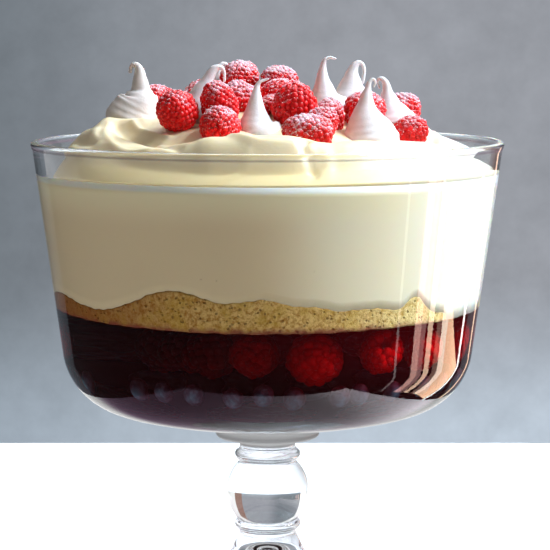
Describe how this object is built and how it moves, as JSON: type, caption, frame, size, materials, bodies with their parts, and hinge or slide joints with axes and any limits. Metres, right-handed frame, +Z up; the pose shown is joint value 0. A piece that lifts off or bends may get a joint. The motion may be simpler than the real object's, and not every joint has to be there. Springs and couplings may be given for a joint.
{
  "type": "trifle",
  "caption": "Trifle in a footed glass bowl: fruit jelly, sponge, custard and whipped cream in layers, topped with raspberries and meringue kisses.",
  "frame": {"origin": "centre of the foot's underside, on the surface the bowl stands on", "axes": "+Z up along the bowl's axis, -Y towards the front, +X to the right seen from the front"},
  "size_m": [0.2204, 0.2204, 0.2646],
  "materials": {
    "glass": "clear, polished",
    "jelly": "glossy, dark wine red",
    "sponge": "open crumb, matt",
    "custard": "smooth, soft sheen",
    "cream": "smooth, soft sheen",
    "meringue": "dry, smooth",
    "raspberry": "moist, dusted with icing sugar"
  },
  "bodies": {
    "root": {"glass_bowl": "glass", "jelly": "jelly", "sponge": "sponge", "custard": "custard", "whipped_cream": "cream", "meringue_01": "meringue", "meringue_02": "meringue", "meringue_03": "meringue", "meringue_04": "meringue", "meringue_05": "meringue", "meringue_06": "meringue", "meringue_07": "meringue", "meringue_08": "meringue", "raspberry_01": "raspberry", "raspberry_02": "raspberry", "raspberry_03": "raspberry", "raspberry_04": "raspberry", "raspberry_05": "raspberry", "raspberry_06": "raspberry", "raspberry_07": "raspberry", "raspberry_08": "raspberry", "raspberry_09": "raspberry", "raspberry_10": "raspberry", "raspberry_11": "raspberry", "raspberry_12": "raspberry", "raspberry_13": "raspberry", "raspberry_14": "raspberry", "raspberry_15": "raspberry", "raspberry_16": "raspberry", "raspberry_17": "raspberry", "raspberry_18": "raspberry", "raspberry_19": "raspberry", "raspberry_20": "raspberry", "raspberry_21": "raspberry", "raspberry_22": "raspberry", "raspberry_23": "raspberry"}
  },
  "joints": []
}
